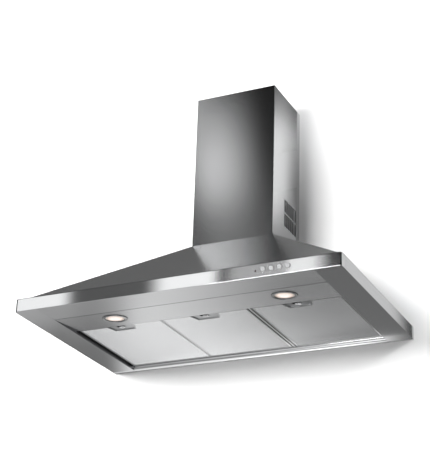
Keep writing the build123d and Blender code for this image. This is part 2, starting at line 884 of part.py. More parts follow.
with BuildPart() as button_bezels:
    with BuildSketch(Plane.XZ.offset(hood_depth)):
        with Locations([(x, button_z) for x in button_xs]):
            Circle(bezel_radius)
    extrude(amount=bezel_proud)
    with BuildSketch(Plane.XZ.offset(hood_depth)):
        with Locations([(x, button_z) for x in button_xs]):
            Circle(bezel_sleeve_radius)
    extrude(amount=-bezel_length)
    with BuildSketch(Plane.XZ.offset(hood_depth + bezel_proud)):
        with Locations([(x, button_z) for x in button_xs]):
            Circle(button_radius + seam)
    extrude(amount=-bezel_length - bezel_proud, mode=Mode.SUBTRACT)
button_bezels.part.label = "button_bezels"
export_step(button_bezels.part, "parts/button_bezels.step")


def push_button(x):
    """Round cap with the stem that reaches into the switch block."""
    with BuildPart() as button:
        with BuildSketch(Plane.XZ.offset(button_back)):
            with Locations((x, button_z)):
                Circle(button_radius)
        extrude(amount=button_length)
        front_rim = button.edges().filter_by(GeomType.CIRCLE).sort_by(Axis.Y)[0]
        fillet(front_rim, button_edge)
        with BuildSketch(Plane.XZ.offset(button_back)):
            with Locations((x, button_z)):
                Circle(stem_radius)
        extrude(amount=-stem_length)
    return button.part


for number, x in enumerate(button_xs, 1):
    button = push_button(x)
    button.label = f"push_button_{number}"
    export_step(button, f"parts/push_button_{number}.step")

with BuildPart() as button_springs:
    with BuildSketch(Plane.XZ.offset(switch_front)):
        with Locations([(x, button_z) for x in button_xs]):
            Circle(stem_radius + seam + spring_wall)
            Circle(stem_radius + seam, mode=Mode.SUBTRACT)
    extrude(amount=button_back - switch_front)
button_springs.part.label = "button_springs"
export_step(button_springs.part, "parts/button_springs.step")

with BuildPart() as switch_block:
    switch_middle = (switch_left + switch_right) / 2
    with BuildSketch(Plane.XZ.offset(switch_back)):
        with Locations((switch_middle, button_z)):
            Rectangle(switch_right - switch_left, switch_top - switch_bottom)
    extrude(amount=switch_depth)
    with BuildSketch(Plane.XZ.offset(switch_front)):
        for leg_x in (switch_left + switch_leg / 2, switch_right - switch_leg / 2):
            with Locations((leg_x, button_z)):
                Rectangle(switch_leg, switch_top - switch_bottom)
    extrude(amount=-fascia_inner - switch_front)
    with BuildSketch(Plane.XZ.offset(switch_front)):
        with Locations([(x, button_z) for x in button_xs]):
            Circle(stem_radius + seam)
    extrude(amount=-stem_length - button_travel, mode=Mode.SUBTRACT)
switch_block.part.label = "switch_block"
export_step(switch_block.part, "parts/switch_block.step")

with BuildPart() as pilot_lens:
    with BuildSketch(Plane.XZ.offset(switch_front)):
        with Locations((pilot_x, pilot_z)):
            Circle(pilot_radius)
    extrude(amount=hood_depth + pilot_proud - switch_front)
    fillet(pilot_lens.edges().filter_by(GeomType.CIRCLE).sort_by(Axis.Y)[0], pilot_proud)
pilot_lens.part.label = "pilot_lens"
export_step(pilot_lens.part, "parts/pilot_lens.step")


# ================================================================ blower
def scroll_profile(shrink):
    """Adds the outline of the scroll and its outlet neck, drawn in by shrink, to a sketch on a YZ plane."""
    outlet_depth = 2 * (collar_flange_radius + neck_margin - shrink)
    outlet_height = scroll_top - scroll_centre_z - shrink
    with Locations((scroll_centre_y, scroll_centre_z)):
        Circle(scroll_radius - shrink)
    with Locations((duct_y, scroll_centre_z + outlet_height / 2)):
        Rectangle(outlet_depth, outlet_height)


with BuildPart() as blower_housing:
    with BuildSketch(Plane.YZ):
        scroll_profile(0)
    extrude(amount=scroll_half_width, both=True)
    with BuildSketch(Plane.YZ):
        scroll_profile(scroll_wall)
    extrude(amount=scroll_half_width - scroll_wall, both=True, mode=Mode.SUBTRACT)
    with BuildSketch(Plane.YZ):
        with Locations((scroll_centre_y, scroll_centre_z)):
            Circle(inlet_radius)
    extrude(amount=hood_width / 2, both=True, mode=Mode.SUBTRACT)
    with BuildSketch(Plane.XY.offset(scroll_top)):
        with Locations((0, duct_y)):
            Circle(collar_radius - collar_wall)
    extrude(amount=-2 * scroll_wall, mode=Mode.SUBTRACT)
    lug_z = scroll_centre_z + lug_height / 2
    with BuildSketch(Plane.XZ.offset(back_sheet)):
        for side in (-1, 1):
            with Locations((side * (scroll_half_width + lug_width / 2), lug_z)):
                Rectangle(lug_width, lug_height)
        with Locations(blower_screw_places):
            Circle(screw_radius + hole_gap, mode=Mode.SUBTRACT)
    extrude(amount=scroll_wall)
blower_housing.part.label = "blower_housing"
export_step(blower_housing.part, "parts/blower_housing.step")

with BuildPart() as blower_screws:
    for x, z in blower_screw_places:
        lug_face = -back_sheet - scroll_wall
        add(screw(Plane(origin=(x, lug_face, z), z_dir=(0, 1, 0)), back_sheet + scroll_wall - hole_gap))
blower_screws.part.label = "blower_screws"
export_step(blower_screws.part, "parts/blower_screws.step")


def fan_plane(x):
    """Plane square to the fan's axis, with its origin on that axis."""
    return Plane(origin=(x, scroll_centre_y, scroll_centre_z), x_dir=(0, 1, 0), z_dir=(1, 0, 0))


with BuildPart() as inlet_rings:
    for side in (-1, 1):
        with BuildSketch(fan_plane(side * scroll_half_width)):
            Circle(inlet_ring_radius)
            Circle(inlet_radius - inlet_nozzle_wall, mode=Mode.SUBTRACT)
        extrude(amount=side * inlet_ring_sheet)
        with BuildSketch(fan_plane(side * scroll_half_width)):
            Circle(inlet_radius - hole_gap)
            Circle(inlet_radius - inlet_nozzle_wall, mode=Mode.SUBTRACT)
        extrude(amount=-side * inlet_nozzle_length)
inlet_rings.part.label = "inlet_rings"
export_step(inlet_rings.part, "parts/inlet_rings.step")

motor_left = -scroll_half_width - inlet_ring_sheet
motor_right = motor_left + motor_length

with BuildPart() as motor_bracket:
    with BuildSketch(fan_plane(motor_left)):
        Circle(arm_disk_radius)
        with PolarLocations(inlet_ring_radius / 2, arm_count):
            Rectangle(inlet_ring_radius, arm_width)
    extrude(amount=-bracket_sheet)
motor_bracket.part.label = "motor_bracket"
export_step(motor_bracket.part, "parts/motor_bracket.step")

with BuildPart() as motor:
    with BuildSketch(fan_plane(motor_left)):
        Circle(motor_radius)
    extrude(amount=motor_length)
    fillet(motor.edges().filter_by(GeomType.CIRCLE), motor_edge)
    with BuildSketch(fan_plane(motor_right)):
        Circle(shaft_radius + running_gap)
    extrude(amount=-shaft_in_motor - moving_gap, mode=Mode.SUBTRACT)
motor.part.label = "motor"
export_step(motor.part, "parts/motor.step")

with BuildPart() as impeller_shaft:
    with BuildSketch(fan_plane(motor_right - shaft_in_motor)):
        Circle(shaft_radius)
    extrude(amount=shaft_in_motor - motor_right + shaft_end)
impeller_shaft.part.label = "impeller_shaft"
export_step(impeller_shaft.part, "parts/impeller_shaft.step")

with BuildPart() as impeller:
    blade_length = wheel_radius - wheel_inner_radius
    blade_middle = (wheel_radius + wheel_inner_radius) / 2
    with BuildSketch(fan_plane(-wheel_half_width)):
        with PolarLocations(blade_middle, blade_count):
            Rectangle(blade_length, blade_sheet, rotation=blade_angle)
    extrude(amount=2 * wheel_half_width)
    for ring_x in (-wheel_half_width, wheel_half_width - wheel_ring):
        with BuildSketch(fan_plane(ring_x)):
            Circle(wheel_radius + sheet)
            Circle(wheel_inner_radius, mode=Mode.SUBTRACT)
        extrude(amount=wheel_ring)
    with BuildSketch(fan_plane(0)):
        Circle(wheel_radius)
    extrude(amount=hub_disk)
    with BuildSketch(fan_plane(-hub_half_length)):
        Circle(hub_radius)
    extrude(amount=2 * hub_half_length)
    with BuildSketch(fan_plane(-hub_half_length)):
        Circle(shaft_radius + running_gap / 2)
    extrude(amount=2 * hub_half_length, mode=Mode.SUBTRACT)
impeller.part.label = "impeller"
export_step(impeller.part, "parts/impeller.step")


# ================================================================ outlet collar and flaps
flap_pin_z = scroll_top + flap_pin_height
collar_bore = collar_radius - collar_wall

with BuildPart() as outlet_collar:
    with BuildSketch(Plane.XY.offset(scroll_top)):
        with Locations((0, duct_y)):
            Circle(collar_flange_radius)
    extrude(amount=scroll_wall)
    with BuildSketch(Plane.XY.offset(scroll_top)):
        with Locations((0, duct_y)):
            Circle(collar_radius)
    extrude(amount=collar_height)
    with BuildSketch(Plane.XY.offset(scroll_top)):
        with Locations((0, duct_y)):
            Circle(collar_bore)
    extrude(amount=collar_height, mode=Mode.SUBTRACT)
    with BuildSketch(Plane.XZ):
        with Locations((0, flap_pin_z)):
            Circle(flap_pin_radius + hole_gap)
    extrude(amount=chimney_depth, mode=Mode.SUBTRACT)
outlet_collar.part.label = "outlet_collar"
export_step(outlet_collar.part, "parts/outlet_collar.step")

with BuildPart() as flap_pin:
    pin_half = collar_radius - hole_gap
    with BuildSketch(Plane.XZ.offset(-duct_y - pin_half)):
        with Locations((0, flap_pin_z)):
            Circle(flap_pin_radius)
    extrude(amount=2 * pin_half)
flap_pin.part.label = "flap_pin"
export_step(flap_pin.part, "parts/flap_pin.step")


def flap(side):
    """Half-disc flap with two barrels on the pin, which take turns with the other flap's."""
    barrel_pitch = barrel_length + barrel_gap
    barrel_ys = [duct_y + (step + 0.25 * side) * 2 * barrel_pitch for step in (-0.5, 0.5)]
    barrel_radius = flap_pin_radius + running_gap + flap_barrel_wall
    flap_radius = collar_bore - flap_edge_gap
    with BuildPart() as half_disc:
        with BuildSketch(Plane.XY.offset(flap_pin_z - flap_sheet / 2)):
            with Locations((0, duct_y)):
                Circle(flap_radius)
            with Locations((side * (flap_inner_edge - flap_radius), duct_y)):
                Rectangle(2 * flap_radius, 2 * flap_radius, mode=Mode.SUBTRACT)
            for y in barrel_ys:
                with Locations((side * flap_inner_edge / 2, y)):
                    Rectangle(flap_inner_edge, barrel_length)
        extrude(amount=flap_sheet)
        for y in barrel_ys:
            with BuildSketch(Plane.XZ.offset(-y - barrel_length / 2)):
                with Locations((0, flap_pin_z)):
                    Circle(barrel_radius)
            extrude(amount=barrel_length)
        with BuildSketch(Plane.XZ):
            with Locations((0, flap_pin_z)):
                Circle(flap_pin_radius + running_gap)
        extrude(amount=chimney_depth, mode=Mode.SUBTRACT)
    return half_disc.part


for name, side in (("flap_left", -1), ("flap_right", 1)):
    half = flap(side)
    half.label = name
    export_step(half, f"parts/{name}.step")


# ================================================================ electrics
box_top = box_z + box_height / 2
gland_y = -back_sheet - box_depth / 2

with BuildPart() as junction_box:
    with BuildSketch(Plane.XZ.offset(back_sheet)):
        with Locations((box_x, box_z)):
            Rectangle(box_width, box_height)
    extrude(amount=box_depth)
    fillet(junction_box.edges().group_by(Axis.Y)[0], box_edge)
    with BuildSketch(Plane.XZ.offset(back_sheet + box_wall)):
        with Locations((box_x, box_z)):
            Rectangle(box_width - 2 * box_wall, box_height - 2 * box_wall)
    extrude(amount=box_depth - 2 * box_wall, mode=Mode.SUBTRACT)
    with BuildSketch(Plane.XY.offset(box_top)):
        with Locations((box_x, gland_y)):
            Circle(gland_thread_radius + hole_gap)
    extrude(amount=-2 * box_wall, mode=Mode.SUBTRACT)
junction_box.part.label = "junction_box"
export_step(junction_box.part, "parts/junction_box.step")

with BuildPart() as cable_gland:
    with BuildSketch(Plane.XY.offset(box_top)):
        with Locations((box_x, gland_y)):
            RegularPolygon(gland_radius, 6)
    extrude(amount=gland_nut)
    with BuildSketch(Plane.XY.offset(box_top + gland_nut)):
        with Locations((box_x, gland_y)):
            Circle(gland_thread_radius)
    extrude(amount=gland_above - gland_nut)
    with BuildSketch(Plane.XY.offset(box_top)):
        with Locations((box_x, gland_y)):
            Circle(gland_thread_radius)
    extrude(amount=-2 * box_wall)
    with BuildSketch(Plane.XY.offset(box_top - 2 * box_wall)):
        with Locations((box_x, gland_y)):
            Circle(gland_bore)
    extrude(amount=gland_above + 2 * box_wall, mode=Mode.SUBTRACT)
cable_gland.part.label = "cable_gland"
export_step(cable_gland.part, "parts/cable_gland.step")

with BuildPart() as capacitor:
    with BuildSketch(Plane.XZ.offset(back_sheet)):
        with Locations((capacitor_x, capacitor_z)):
            Circle(capacitor_radius)
    extrude(amount=capacitor_length)
    fillet(capacitor.edges().group_by(Axis.Y)[0], capacitor_edge)
capacitor.part.label = "capacitor"
export_step(capacitor.part, "parts/capacitor.step")
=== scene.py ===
"""Looks of the wall-mounted chimney range hood: finishes, small detail, studio and camera."""

import math

import bpy
from mathutils import Matrix, Vector


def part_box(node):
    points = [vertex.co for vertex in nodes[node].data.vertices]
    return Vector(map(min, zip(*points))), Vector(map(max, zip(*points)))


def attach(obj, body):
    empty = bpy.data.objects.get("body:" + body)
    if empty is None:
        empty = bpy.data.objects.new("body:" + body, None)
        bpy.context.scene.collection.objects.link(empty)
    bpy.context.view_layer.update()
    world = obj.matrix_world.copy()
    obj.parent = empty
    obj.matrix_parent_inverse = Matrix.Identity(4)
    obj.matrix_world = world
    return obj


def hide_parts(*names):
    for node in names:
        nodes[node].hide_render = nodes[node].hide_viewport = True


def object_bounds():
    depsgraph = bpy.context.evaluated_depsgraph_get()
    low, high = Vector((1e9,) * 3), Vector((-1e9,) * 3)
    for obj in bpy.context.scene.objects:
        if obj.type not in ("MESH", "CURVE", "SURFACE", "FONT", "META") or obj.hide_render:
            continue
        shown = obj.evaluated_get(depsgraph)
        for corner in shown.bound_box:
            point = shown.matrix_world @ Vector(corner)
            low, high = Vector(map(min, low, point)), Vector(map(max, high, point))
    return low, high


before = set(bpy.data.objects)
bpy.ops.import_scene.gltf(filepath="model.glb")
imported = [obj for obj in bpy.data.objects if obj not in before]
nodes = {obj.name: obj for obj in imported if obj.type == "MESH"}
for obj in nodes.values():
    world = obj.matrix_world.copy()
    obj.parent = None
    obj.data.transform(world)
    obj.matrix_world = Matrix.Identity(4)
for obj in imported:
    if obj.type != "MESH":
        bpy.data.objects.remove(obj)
cad_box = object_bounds()

FILTERS = (1, 2, 3)
BUTTONS = (1, 2, 3, 4)
SIDES = ("left", "right")

# ------------------------------------------------------------------ camera
IMAGE_WIDTH = 430
IMAGE_HEIGHT = 465
SENSOR = 36.0  # millimetres along the long side of the picture
FOCAL_PIXELS = 1375.0
PRINCIPAL_POINT = (183.1, 221.2)  # pixels from the picture's top left corner
CAMERA_PLACE = Vector((1.471, -3.335, -1.239))
CAMERA_AZIMUTH = math.radians(27.32)
CAMERA_ELEVATION = math.radians(-24.34)
CAMERA_ROLL = math.radians(2.56)


def make_camera():
    """Camera low in front of the hood and to its right, looking up at it."""
    data = bpy.data.cameras.new("camera")
    data.sensor_width = SENSOR
    data.lens = FOCAL_PIXELS / IMAGE_HEIGHT * SENSOR
    data.shift_x = (IMAGE_WIDTH / 2 - PRINCIPAL_POINT[0]) / IMAGE_HEIGHT
    data.shift_y = (PRINCIPAL_POINT[1] - IMAGE_HEIGHT / 2) / IMAGE_HEIGHT
    camera = bpy.data.objects.new("camera", data)
    bpy.context.scene.collection.objects.link(camera)
    level = math.cos(CAMERA_ELEVATION)
    back = Vector((
        math.sin(CAMERA_AZIMUTH) * level,
        -math.cos(CAMERA_AZIMUTH) * level,
        math.sin(CAMERA_ELEVATION),
    ))
    right = Vector((math.cos(CAMERA_AZIMUTH), math.sin(CAMERA_AZIMUTH), 0))
    up = back.cross(right)
    turned_right = right * math.cos(CAMERA_ROLL) + up * math.sin(CAMERA_ROLL)
    turned_up = back.cross(turned_right)
    rotation = Matrix((turned_right, turned_up, back)).transposed()
    camera.matrix_world = Matrix.Translation(CAMERA_PLACE) @ rotation.to_4x4()
    bpy.context.scene.camera = camera


# ------------------------------------------------------------------ shader nodes
NOISE_LOW, NOISE_HIGH = 0.3, 0.7  # where most of a noise texture's values lie


def new_material(name):
    """A node material, with its tree and its Principled shader."""
    material = bpy.data.materials.new(name)
    material.use_nodes = True
    return material, material.node_tree, principled(material)


def principled(material):
    """A material's Principled shader."""
    return material.node_tree.nodes["Principled BSDF"]


def feed(tree, socket, value):
    """Sets a socket to a value, or links it to another socket."""
    if isinstance(value, bpy.types.NodeSocket):
        tree.links.new(value, socket)
    else:
        socket.default_value = value


def add_node(tree, kind, inputs=None, **settings):
    """Adds a node, sets its settings and feeds its inputs."""
    node = tree.nodes.new(kind)
    for key, value in settings.items():
        setattr(node, key, value)
    for key, value in (inputs or {}).items():
        feed(tree, node.inputs[key], value)
    return node


def vector_math(tree, operation, *values):
    """Result socket of a vector operation."""
    node = add_node(tree, "ShaderNodeVectorMath", operation=operation)
    for socket, value in zip(node.inputs, values):
        feed(tree, socket, value)
    return node.outputs["Value" if operation in ("DOT_PRODUCT", "DISTANCE") else "Vector"]


def math_node(tree, operation, *values):
    """Result socket of a scalar operation."""
    node = add_node(tree, "ShaderNodeMath", operation=operation)
    for socket, value in zip(node.inputs, values):
        feed(tree, socket, value)
    return node.outputs[0]


def remap(tree, value, low, high, low_out=0.0, high_out=1.0, **settings):
    """Socket that maps a value from one range to another."""
    inputs = {
        "Value": value, "From Min": low, "From Max": high, "To Min": low_out, "To Max": high_out,
    }
    return add_node(tree, "ShaderNodeMapRange", inputs, **settings).outputs["Result"]


def mix_colours(tree, share, first, second):
    """Socket of a colour between two, each of them red, green, blue and alpha, or a socket."""
    inputs = {"Factor": share, "A": first, "B": second}
    return add_node(tree, "ShaderNodeMix", inputs, data_type="RGBA").outputs["Result"]


def mix_shaders(tree, share, first, second):
    """Socket of a surface between two."""
    mixed = add_node(tree, "ShaderNodeMixShader", {"Fac": share})
    tree.links.new(first, mixed.inputs[1])
    tree.links.new(second, mixed.inputs[2])
    return mixed.outputs[0]


def object_place(tree):
    """Socket of the place on the object."""
    return add_node(tree, "ShaderNodeTexCoord").outputs["Object"]


def surface_normal(tree):
    """Socket of the surface's normal."""
    return add_node(tree, "ShaderNodeNewGeometry").outputs["Normal"]


def component(tree, vector, axis):
    """Socket of a vector's part along X, Y or Z."""
    return add_node(tree, "ShaderNodeSeparateXYZ", {"Vector": vector}).outputs[axis]


def noise(tree, place, scale, detail=2.0, roughness=0.5, dimensions="3D"):
    """Value socket of a noise texture."""
    inputs = {"Vector": place, "Scale": scale, "Detail": detail, "Roughness": roughness}
    node = add_node(tree, "ShaderNodeTexNoise", inputs, noise_dimensions=dimensions)
    return node.outputs["Fac"]


def noise_range(tree, value, low_out, high_out):
    """Socket that maps most of a noise texture's values to a range."""
    return remap(tree, value, NOISE_LOW, NOISE_HIGH, low_out, high_out)


def blend(tree, first, second, share):
    """Socket of two values added up, with the given share of the first."""
    return math_node(
        tree, "ADD",
        math_node(tree, "MULTIPLY", first, share), math_node(tree, "MULTIPLY", second, 1 - share),
    )


def varied_colour(tree, shade, colour, spread):
    """Socket of a colour that is made darker and lighter by a share of it."""
    dark = (part * (1 - spread) for part in colour)
    light = (min(1.0, part * (1 + spread)) for part in colour)
    return mix_colours(tree, shade, (*dark, 1), (*light, 1))


# ------------------------------------------------------------------ kinds of finish
UP = (0.0, 0.0, 1.0)
GRAIN_HINT = 0.002  # steers the grain of level sheets, and is too small to turn that of others
GRAIN_ALONG = 9.0  # scale of the grain's noise along the grain
GRAIN_ACROSS = 1400.0
GRAIN_DETAIL = 3.0
GRAIN_ROUGHNESS = 0.65
GRAIN_SHARE = 0.75  # of a steel's shade, and the clouds have the rest
CLOUD_SCALE = 3.5
STEEL_SPREAD = 0.05  # of the colour
STEEL_GLOSS = 0.012  # added to the roughness, or taken from it
STEEL_ANISOTROPY = 0.95
SPECKLE_SCALE = 900.0
SPECKLES_TO_CLOUDS = 60  # how much finer the speckles are
BUMP_STRENGTH = 0.25
BUMP_DISTANCE = 0.00004


def cool_grey(level):
    """A grey that is slightly blue."""
    return (level, level + 0.005, level + 0.01)


def grain_space(tree, flat_grain):
    """Direction across the grain, the place, and the place measured along and across the grain.

    On upright and sloping sheets the grain is level. On level ones it follows flat_grain.
    """
    normal = surface_normal(tree)
    place = object_place(tree)
    level = vector_math(tree, "CROSS_PRODUCT", UP, normal)
    hint = tuple(GRAIN_HINT * part for part in flat_grain)
    grain = vector_math(tree, "NORMALIZE", vector_math(tree, "ADD", level, hint))
    across = vector_math(tree, "NORMALIZE", vector_math(tree, "CROSS_PRODUCT", normal, grain))
    along_value = vector_math(tree, "DOT_PRODUCT", place, grain)
    across_value = vector_math(tree, "DOT_PRODUCT", place, across)
    return across, place, along_value, across_value


def brushed_steel(name, roughness=0.22, level=0.56, flat_grain=(1, 0, 0)):
    """Stainless sheet whose fine grain spreads reflections across it, with faint gloss clouds."""
    material, tree, shader = new_material(name)
    across, place, along_value, across_value = grain_space(tree, flat_grain)
    stretched = add_node(
        tree, "ShaderNodeCombineXYZ",
        {"X": math_node(tree, "MULTIPLY", along_value, GRAIN_ALONG),
         "Y": math_node(tree, "MULTIPLY", across_value, GRAIN_ACROSS)},
    ).outputs[0]
    grain = noise(tree, stretched, 1.0, GRAIN_DETAIL, GRAIN_ROUGHNESS, "2D")
    cloud = noise(tree, place, CLOUD_SCALE)
    shade = blend(tree, grain, cloud, GRAIN_SHARE)
    colour = varied_colour(tree, shade, cool_grey(level), STEEL_SPREAD)
    gloss = math_node(
        tree, "ADD",
        noise_range(tree, grain, -STEEL_GLOSS, STEEL_GLOSS),
        noise_range(tree, cloud, -STEEL_GLOSS, STEEL_GLOSS),
    )
    tree.links.new(colour, shader.inputs["Base Color"])
    tree.links.new(math_node(tree, "ADD", gloss, roughness), shader.inputs["Roughness"])
    tree.links.new(across, shader.inputs["Tangent"])
    shader.inputs["Metallic"].default_value = 1.0
    shader.inputs["Anisotropic"].default_value = STEEL_ANISOTROPY
    return material


def speckled(
    name, colour, roughness, metallic=0.0, scale=SPECKLE_SCALE, spread=0.06, gloss=0.12,
    specular=0.5,
):
    """Plain moulded, cast or pressed surface with a fine even texture."""
    material, tree, shader = new_material(name)
    place = object_place(tree)
    fine = noise(tree, place, scale)
    broad = noise(tree, place, scale / SPECKLES_TO_CLOUDS)
    shade = blend(tree, fine, broad, 0.5)
    rough = noise_range(tree, broad, roughness * (1 - gloss), roughness * (1 + gloss))
    bump = {"Height": fine, "Strength": BUMP_STRENGTH, "Distance": BUMP_DISTANCE}
    tree.links.new(varied_colour(tree, shade, colour, spread), shader.inputs["Base Color"])
    tree.links.new(rough, shader.inputs["Roughness"])
    tree.links.new(add_node(tree, "ShaderNodeBump", bump).outputs[0], shader.inputs["Normal"])
    shader.inputs["Metallic"].default_value = metallic
    shader.inputs["Specular IOR Level"].default_value = specular
    return material


def bare_metal(name, level, roughness):
    """Smooth sheet without a grain, such as aluminium or a plated latch."""
    return speckled(name, cool_grey(level), roughness, metallic=1.0, spread=0.03, gloss=0.02)


def paint_shade(material, share, dark):
    """Paints shade into a material's colour: mixes a dark colour in by the value of a socket."""
    tree = material.node_tree
    socket = principled(material).inputs["Base Color"]
    colour = socket.links[0].from_socket
    tree.links.new(mix_colours(tree, share, colour, (*dark, 1)), socket)


def paint_flank_shade(material, axis, limit, dark):
    """Paints shade on the faces that turn away from an axis, such as the flanks of a vent's fins.

    Their normal's part along the axis is below the limit.
    """
    tree = material.node_tree
    facing = math_node(tree, "ABSOLUTE", component(tree, surface_normal(tree), axis))
    paint_shade(material, math_node(tree, "LESS_THAN", facing, limit), dark)


# ------------------------------------------------------------------ finishes of the CAD nodes
SHEET_ROUGHNESS = 0.17
BAND_BOTTOM_ROUND = 0.0022  # height over which the band's lower edge turns under
BAND_TOP_ROUND = 0.0016
BAND_BOTTOM_LEAN = -0.4  # how far the normal leans down at that edge, and up at the top one
BAND_TOP_LEAN = 0.9
BORDER_SHADE_SPAN = (0.0016, 0.0008)  # distances from the rear edge over which painted shade darkens the panel
# colour of the painted shade at the panel's rear edge
BORDER_PAINTED_SHADE = (0.12, 0.12, 0.125)
RECESS_WALL = -0.1  # a place's x times its normal's x is below this on the recess walls
# colour of the painted shade on the recess walls
RECESS_PAINTED_SHADE = (0.09, 0.09, 0.095)
WELL_START = 0.0027  # height of a latch's finger well above its pan's lowest face
WELL_FADE = 0.0003
# colour of the painted shade in the finger wells
WELL_PAINTED_SHADE = (0.008, 0.008, 0.009)
# colour of the painted shade on the flanks of the lamps' bezels and the buttons' rings
FLANK_PAINTED_SHADE = (0.07, 0.071, 0.073)
# colour of the painted shade on the flanks of the vents' fins
VENT_PAINTED_SHADE = (0.25, 0.253, 0.26)


def use(material, *names):
    """Gives CAD nodes a material, through their objects' slots."""
    for name in names:
        piece = nodes[name]
        if not piece.material_slots:
            piece.data.materials.append(material)
        for slot in piece.material_slots:
            slot.link = "OBJECT"
            slot.material = material


def band_steel():
    """Brushed steel of the front band, whose top and bottom edges are rounded over."""
    material = brushed_steel("steel_band", roughness=SHEET_ROUGHNESS)
    tree = material.node_tree
    height = component(tree, object_place(tree), "Z")
    bottom, top = (corner[2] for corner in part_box("front_fascia"))
    down = remap(tree, height, bottom, bottom + BAND_BOTTOM_ROUND, BAND_BOTTOM_LEAN, 0.0)
    up = remap(tree, height, top - BAND_TOP_ROUND, top, 0.0, BAND_TOP_LEAN)
    lean = add_node(tree, "ShaderNodeCombineXYZ", {"Z": math_node(tree, "ADD", down, up)})
    leaning = vector_math(tree, "ADD", surface_normal(tree), lean.outputs[0])
    turned = vector_math(tree, "NORMALIZE", leaning)
    tree.links.new(turned, principled(material).inputs["Normal"])
    return material


def border_steel():
    """Brushed steel of the border panel, with painted shade along its rear edge, where it turns up
    into the joint.
    """
    material = brushed_steel("steel_border", roughness=0.25, level=0.6)
    tree = material.node_tree
    depth = component(tree, object_place(tree), "Y")
    start, end = (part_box("front_border_panel")[1][1] - distance for distance in BORDER_SHADE_SPAN)
    # painted shade: the steel turns dark towards the rear edge
    paint_shade(material, remap(tree, depth, start, end), BORDER_PAINTED_SHADE)
    return material


def side_steel():
    """Brushed steel of the sides, with painted shade on the recess walls that face the filters."""
    material = brushed_steel("steel_side", flat_grain=(0, 1, 0))
    tree = material.node_tree
    facing = component(tree, surface_normal(tree), "X")
    aside = component(tree, object_place(tree), "X")
    outward = math_node(tree, "MULTIPLY", facing, aside)
    # painted shade on the walls of the filters' recess
    paint_shade(material, math_node(tree, "LESS_THAN", outward, RECESS_WALL), RECESS_PAINTED_SHADE)
    return material


def latch_pan_metal():
    """Plated metal of the latch pans, with painted shade that makes their finger wells almost
    black.
    """
    material = bare_metal("latch_grey", 0.48, 0.3)
    tree = material.node_tree
    height = component(tree, object_place(tree), "Z")
    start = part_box("filter_1_latch_pan")[0][2] + WELL_START
    # painted shade: the pan turns almost black above this height, in its finger well
    paint_shade(material, remap(tree, height, start, start + WELL_FADE), WELL_PAINTED_SHADE)
    return material


def dress_nodes():
    """Gives every CAD node its finish."""
    outer = brushed_steel("steel_outer", roughness=SHEET_ROUGHNESS)
    use(outer, "canopy", "lower_chimney", "upper_chimney")
    use(band_steel(), "front_fascia")
    use(side_steel(), "left_side_panel", "right_side_panel")
    under = brushed_steel("steel_underside", roughness=0.25, level=0.6)
    use(under, "lamp_panel", "filter_divider")
    use(brushed_steel("steel_rail", roughness=0.14, level=0.6), "rear_rail")
    use(border_steel(), "front_border_panel")
    frames = bare_metal("filter_aluminium", 0.58, 0.28)
    use(frames, *(f"filter_{k}_{part}" for k in FILTERS for part in ("frame", "mesh")))
    use(latch_pan_metal(), *(f"filter_{k}_latch_pan" for k in FILTERS))
    tab = speckled("latch_silver", cool_grey(0.5), 0.3)
    use(tab, *(f"filter_{k}_latch" for k in FILTERS))
    spring = speckled("spring_steel", (0.5, 0.5, 0.51), 0.25, metallic=1.0)
    use(spring, *(f"filter_{k}_catch" for k in FILTERS))
    use(spring, "button_springs", "flap_pin", "impeller_shaft")
    zinc = speckled("zinc", (0.5, 0.51, 0.52), 0.42, metallic=1.0, scale=120.0, spread=0.12)
    use(zinc, "back_panel", "blower_housing", "chimney_wall_bracket", "motor_bracket")
    use(zinc, "outlet_collar", "canopy_screws", "blower_screws", "bracket_screws")
    vent = speckled("vent_grey", cool_grey(0.62), 0.5)
    # painted shade on the flanks of the vent's fins
    paint_flank_shade(vent, "X", 0.9, VENT_PAINTED_SHADE)
    use(vent, "side_vent_left", "side_vent_right")
    black = speckled("black_plastic", (0.03, 0.03, 0.033), 0.45)
    use(black, "switch_block", "junction_box", "cable_gland", "capacitor")
    use(black, "flap_left", "flap_right", "impeller", "inlet_rings", "motor")
    cap = speckled("button_cap", cool_grey(0.45), 0.3, metallic=0.5)
    use(cap, *(f"push_button_{k}" for k in BUTTONS))
    use(speckled("pilot_red", (0.02, 0.001, 0.002), 0.4, specular=0.05), "pilot_lens")
    can = speckled("lamp_can", (0.3, 0.3, 0.31), 0.4, metallic=1.0)
    use(can, *(f"lamp_body_{side}" for side in SIDES))
    # The pieces added below replace these nodes.
    ring = speckled("button_ring", (0.6, 0.6, 0.61), 0.2, metallic=1.0)
    use(ring, "button_bezels")
    use(ring, *(f"lamp_{part}_{side}" for part in ("bezel", "glass") for side in SIDES))


# ------------------------------------------------------------------ shapes of added pieces
def new_piece(name, verts, faces, material, body, slot, *replaced):
    """A mesh with a material, that rides on a body and may replace CAD nodes; its slot argument is
    not used.
    """
    mesh = bpy.data.meshes.new(name)
    mesh.from_pydata(verts, [], faces)
    mesh.materials.append(material)
    mesh.update()
    piece = bpy.data.objects.new(name, mesh)
    bpy.context.scene.collection.objects.link(piece)
    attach(piece, body)
    if replaced:
        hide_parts(*replaced)
    return piece


def smooth(piece, degrees=40.0):
    """Smooth shading, with edges sharper than the angle kept crisp."""
    mesh = piece.data
    mesh.shade_smooth()
    mesh.set_sharp_from_angle(angle=math.radians(degrees))


